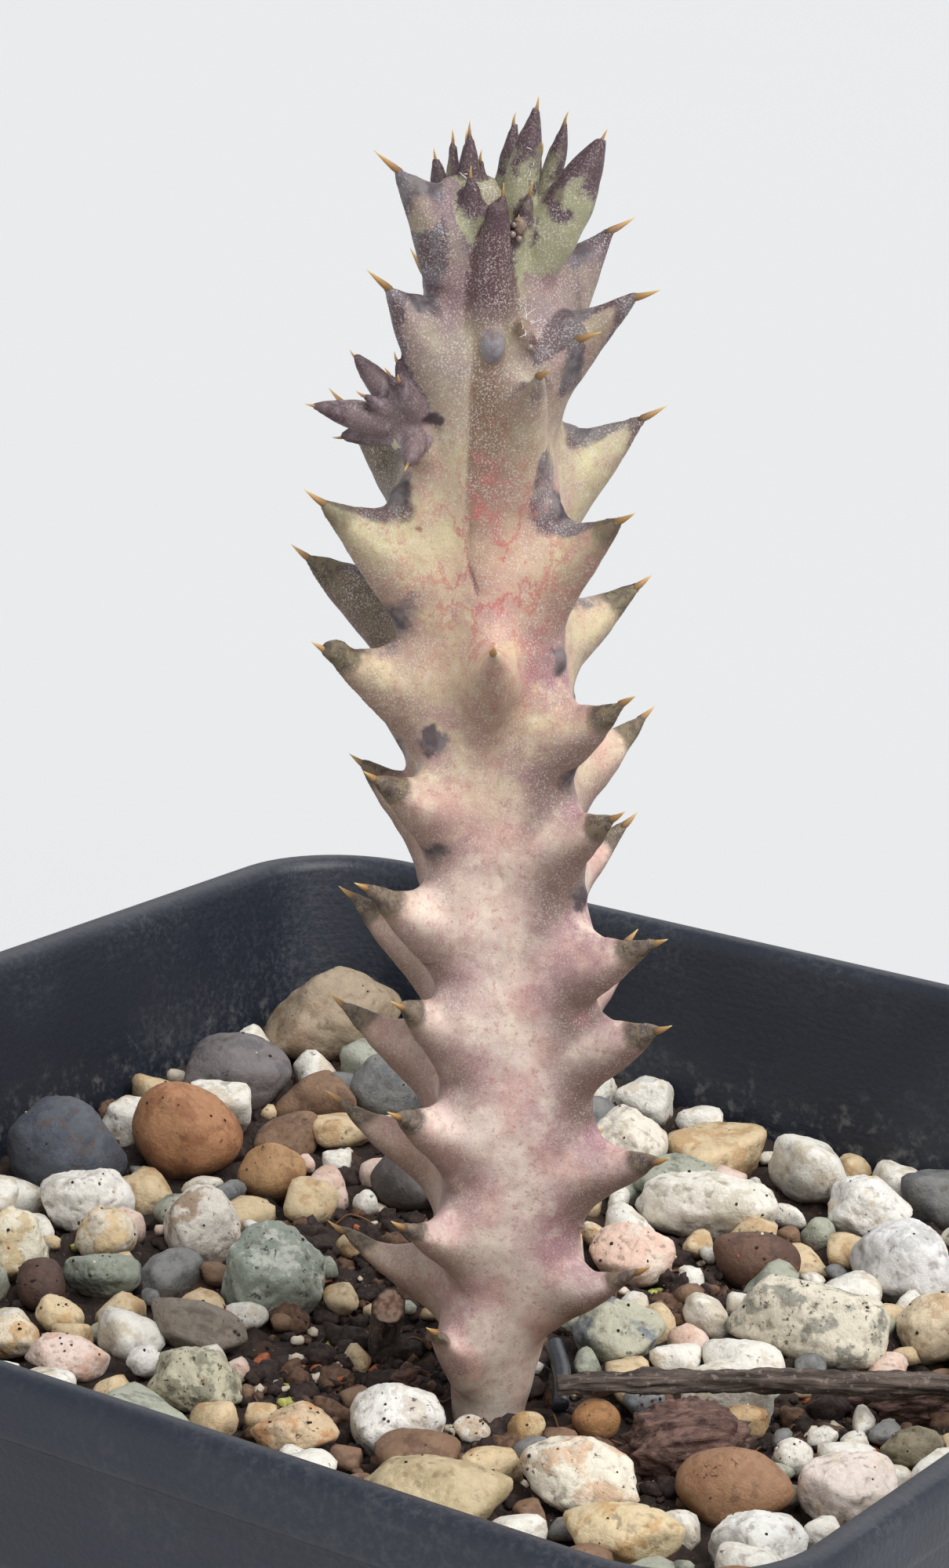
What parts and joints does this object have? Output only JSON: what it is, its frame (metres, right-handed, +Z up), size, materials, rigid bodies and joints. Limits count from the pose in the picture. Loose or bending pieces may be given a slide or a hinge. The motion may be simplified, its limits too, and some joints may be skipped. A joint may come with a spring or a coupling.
{
  "type": "potted edithcolea",
  "caption": "Young toothed succulent stem with a small side shoot, rooted in a square plastic nursery pot of gritty soil topped with loose mixed gravel.",
  "frame": {"origin": "centre of the pot's foot, on the surface it stands on", "axes": "+Z up along the stem, +X and +Y square to the sides of the pot, the pictured side between -Y and +X"},
  "size_m": [0.08, 0.08, 0.1291],
  "materials": {
    "pot": "moulded blue-black plastic with a soft grey sheen",
    "soil": "dark damp peat and bark crumb with fine grit",
    "stem": "waxy succulent skin, pinkish beige below, olive and mauve above, with dark tooth tips and tan spines",
    "stone_white": "dry white quartz, chalky with dark specks",
    "stone_tan": "dry tan to ochre pebble",
    "stone_brown": "smooth brown to rust-orange pebble",
    "stone_grey": "dry grey pebble with faint banding",
    "stone_green": "green-grey stone mottled with cream",
    "stone_pink": "pink and cream quartz",
    "bark": "dark red-brown fibrous bark",
    "twig": "weathered grey-brown twig",
    "sliver": "thin glossy blue-black plastic"
  },
  "bodies": {
    "root": {"pot": "pot", "soil": "soil", "stem": "stem", "stone_white_1": "stone_white", "stone_white_2": "stone_white", "stone_white_3": "stone_white", "stone_white_4": "stone_white", "stone_white_5": "stone_white", "stone_white_6": "stone_white", "stone_white_7": "stone_white", "stone_white_8": "stone_white", "stone_white_9": "stone_white", "stone_white_10": "stone_white", "stone_white_11": "stone_white", "stone_white_12": "stone_white", "stone_white_13": "stone_white", "stone_white_14": "stone_white", "stone_white_15": "stone_white", "stone_white_16": "stone_white", "stone_white_17": "stone_white", "stone_white_18": "stone_white", "stone_tan_1": "stone_tan", "stone_tan_2": "stone_tan", "stone_tan_3": "stone_tan", "stone_tan_4": "stone_tan", "stone_tan_5": "stone_tan", "stone_tan_6": "stone_tan", "stone_tan_7": "stone_tan", "stone_tan_8": "stone_tan", "stone_tan_9": "stone_tan", "stone_tan_10": "stone_tan", "stone_tan_11": "stone_tan", "stone_tan_12": "stone_tan", "stone_brown_1": "stone_brown", "stone_brown_2": "stone_brown", "stone_brown_3": "stone_brown", "stone_brown_4": "stone_brown", "stone_brown_5": "stone_brown", "stone_brown_6": "stone_brown", "stone_brown_7": "stone_brown", "stone_grey_1": "stone_grey", "stone_grey_2": "stone_grey", "stone_grey_3": "stone_grey", "stone_grey_4": "stone_grey", "stone_grey_5": "stone_grey", "stone_grey_6": "stone_grey", "stone_grey_7": "stone_grey", "stone_green_1": "stone_green", "stone_green_2": "stone_green", "stone_green_3": "stone_green", "stone_green_4": "stone_green", "stone_green_5": "stone_green", "stone_pink_1": "stone_pink", "stone_pink_2": "stone_pink", "bark_chip_front": "bark", "bark_chip_right": "bark", "bark_flake": "bark", "twig": "twig", "twig_stub": "twig", "plastic_sliver": "sliver"}
  },
  "joints": []
}
